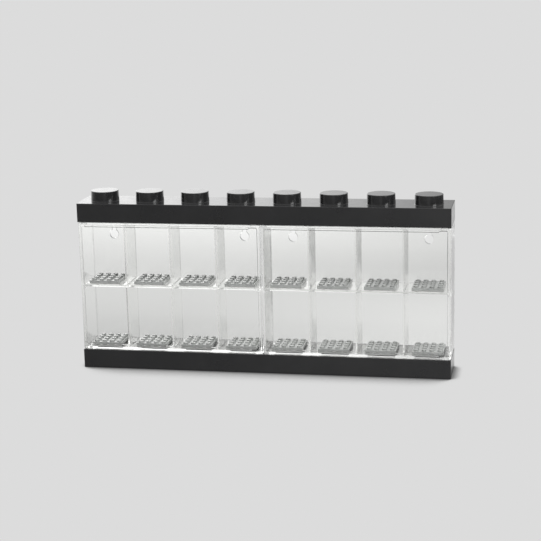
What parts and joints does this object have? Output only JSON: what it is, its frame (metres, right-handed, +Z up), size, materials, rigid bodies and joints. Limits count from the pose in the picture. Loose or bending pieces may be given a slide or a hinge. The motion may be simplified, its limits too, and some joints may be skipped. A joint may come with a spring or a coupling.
{
  "type": "display case",
  "caption": "Wide, shallow display case for small toy figures: a black studded cap and base hold two clear cabinets with compartments, grey studded plates and swinging clear doors.",
  "frame": {"origin": "middle of the footprint, at the height of the surface that the base stands on", "axes": "+X to the right along the front, +Y from the front doors to the back wall, +Z up"},
  "size_m": [0.382, 0.047, 0.1841],
  "materials": {
    "black_plastic": "glossy moulded plastic",
    "clear_plastic": "polished clear moulded plastic",
    "grey_plastic": "glossy moulded plastic"
  },
  "bodies": {
    "case": {"base": "black_plastic", "cap": "black_plastic", "left_shell": "clear_plastic", "right_shell": "clear_plastic", "left_shelf": "clear_plastic", "right_shelf": "clear_plastic", "left_divider_1": "clear_plastic", "left_divider_2": "clear_plastic", "left_divider_3": "clear_plastic", "right_divider_1": "clear_plastic", "right_divider_2": "clear_plastic", "right_divider_3": "clear_plastic", "left_lower_plate_1": "grey_plastic", "left_lower_plate_2": "grey_plastic", "left_lower_plate_3": "grey_plastic", "left_lower_plate_4": "grey_plastic", "left_upper_plate_1": "grey_plastic", "left_upper_plate_2": "grey_plastic", "left_upper_plate_3": "grey_plastic", "left_upper_plate_4": "grey_plastic", "right_lower_plate_1": "grey_plastic", "right_lower_plate_2": "grey_plastic", "right_lower_plate_3": "grey_plastic", "right_lower_plate_4": "grey_plastic", "right_upper_plate_1": "grey_plastic", "right_upper_plate_2": "grey_plastic", "right_upper_plate_3": "grey_plastic", "right_upper_plate_4": "grey_plastic"},
    "left_door": {"left_door": "clear_plastic"},
    "right_door": {"right_door": "clear_plastic"}
  },
  "joints": [
    {"name": "left_door_hinge", "type": "hinge", "parent": "case", "child": "left_door", "pos_m": [-0.1884, -0.02135, 0.087], "axis": [0, 0, -1], "range_deg": [0, 105]},
    {"name": "right_door_hinge", "type": "hinge", "parent": "case", "child": "right_door", "pos_m": [0.0026, -0.02135, 0.087], "axis": [0, 0, -1], "range_deg": [0, 105]}
  ]
}
